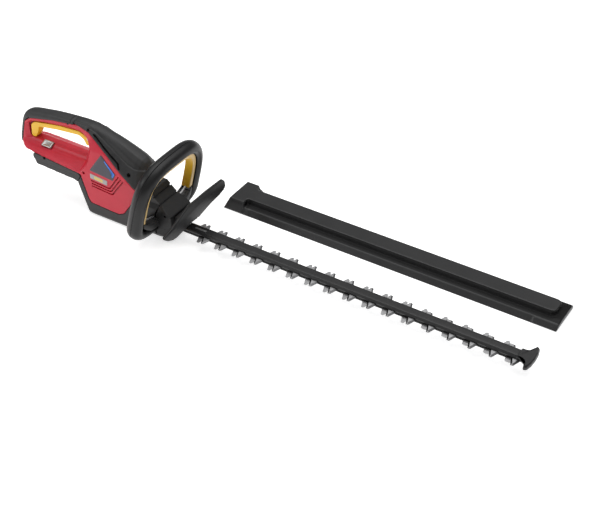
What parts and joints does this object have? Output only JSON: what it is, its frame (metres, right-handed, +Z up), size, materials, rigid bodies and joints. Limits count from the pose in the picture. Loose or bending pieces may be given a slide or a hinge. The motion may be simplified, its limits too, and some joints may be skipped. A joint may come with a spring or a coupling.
{
  "type": "hedge trimmer",
  "caption": "Cordless double-sided hedge trimmer with a D-shaped rear handle, loop front handle, hand guard, tip guard and loose blade cover.",
  "frame": {"origin": "middle of the flat underside of the housing, on the blades' centre line", "axes": "+X forward along the blades, +Y to the operator's left, +Z up"},
  "size_m": [1.1317, 0.304, 0.1928],
  "materials": {
    "red_plastic": "satin",
    "soft_grip": "matte",
    "dark_plastic": "satin",
    "yellow_plastic": "satin",
    "silver_plastic": "satin",
    "switch_plastic": "matte",
    "circuit_board": "satin",
    "contact_brass": "polished",
    "motor_steel": "machined",
    "spring_steel": "polished",
    "black_casting": "satin",
    "dark_fastener": "satin",
    "zinc_fastener": "satin",
    "seal_rubber": "matte",
    "blade_steel": "ground",
    "tip_plastic": "satin",
    "badge_film": "gloss",
    "cover_plastic": "satin",
    "case_casting": "painted satin black"
  },
  "bodies": {
    "housing": {"right_shell": "red_plastic", "left_shell": "red_plastic", "grip_cover": "soft_grip", "motor_cover": "dark_plastic", "bottom_cover": "dark_plastic", "battery_rail": "dark_plastic", "battery_terminals": "contact_brass", "trigger_pin": "spring_steel", "trigger_spring": "spring_steel", "rear_switch": "switch_plastic", "button_switch": "switch_plastic", "control_board": "circuit_board", "front_handle_rear_shell": "dark_plastic", "front_handle_front_shell": "dark_plastic", "front_handle_screws": "dark_fastener", "lever_guides": "dark_plastic", "lever_springs": "spring_steel", "front_switch": "switch_plastic", "motor_stator": "motor_steel", "motor_bearings": "motor_steel", "motor_mount": "switch_plastic", "gear_case_upper": "case_casting", "gear_case_lower": "case_casting", "gear_case_screws": "zinc_fastener", "blade_seal": "seal_rubber", "gear_axle": "motor_steel", "guide_bar": "black_casting", "blade_bushes": "zinc_fastener", "blade_washers": "zinc_fastener", "blade_bolts": "zinc_fastener", "tip_guard": "tip_plastic", "tip_guard_screw": "zinc_fastener", "hand_guard": "dark_plastic", "hand_guard_screws": "zinc_fastener", "housing_screws": "dark_fastener", "side_badges": "badge_film"},
    "upper_blade": {"upper_blade": "blade_steel"},
    "lower_blade": {"lower_blade": "blade_steel"},
    "drive_gear": {"drive_gear": "motor_steel", "crank_rollers": "contact_brass"},
    "rotor": {"motor_rotor": "motor_steel", "cooling_fan": "switch_plastic"},
    "rear_trigger": {"rear_trigger": "yellow_plastic"},
    "front_lever": {"front_lever": "yellow_plastic"},
    "power_button": {"power_button": "silver_plastic"},
    "blade_cover": {"blade_cover": "cover_plastic"}
  },
  "joints": [
    {"name": "upper_blade_stroke", "type": "slide", "parent": "housing", "child": "upper_blade", "axis": [1, 0, 0], "range_m": [-0.015, 0.005]},
    {"name": "lower_blade_stroke", "type": "slide", "parent": "housing", "child": "lower_blade", "axis": [1, 0, 0], "range_m": [-0.005, 0.015]},
    {"name": "gear_spin", "type": "hinge", "parent": "housing", "child": "drive_gear", "pos_m": [0.072, 0, 0.04], "axis": [0, 0, 1], "continuous": true},
    {"name": "motor_spin", "type": "hinge", "parent": "housing", "child": "rotor", "pos_m": [0.0405, 0, 0.086], "axis": [0, 0, 1], "continuous": true},
    {"name": "rear_trigger_squeeze", "type": "hinge", "parent": "housing", "child": "rear_trigger", "pos_m": [-0.072, 0, 0.158], "axis": [0, 1, 0], "range_deg": [0, 3], "stiffness_Nm_per_rad": 6, "springref_deg": -5.73, "deforming": ["trigger_spring"]},
    {"name": "front_lever_squeeze", "type": "slide", "parent": "housing", "child": "front_lever", "axis": [0.2425, 0, 0.9701], "range_m": [0, 0.0045], "stiffness_N_per_m": 1500, "springref_m": -0.002, "deforming": ["lever_springs"]},
    {"name": "power_button_press", "type": "slide", "parent": "housing", "child": "power_button", "axis": [0, 0.4509, -0.8926], "range_m": [0, 0.0015], "stiffness_N_per_m": 1200, "springref_m": -0.001},
    {"name": "blade_cover_draw", "type": "slide", "parent": "housing", "child": "blade_cover", "axis": [1, 0, 0], "range_m": [0, 0.7]}
  ],
  "couplings": [
    {"joint": "lower_blade_stroke", "follows": "upper_blade_stroke", "ratio": -1},
    {"joint": "motor_spin", "follows": "gear_spin", "ratio": -5}
  ]
}
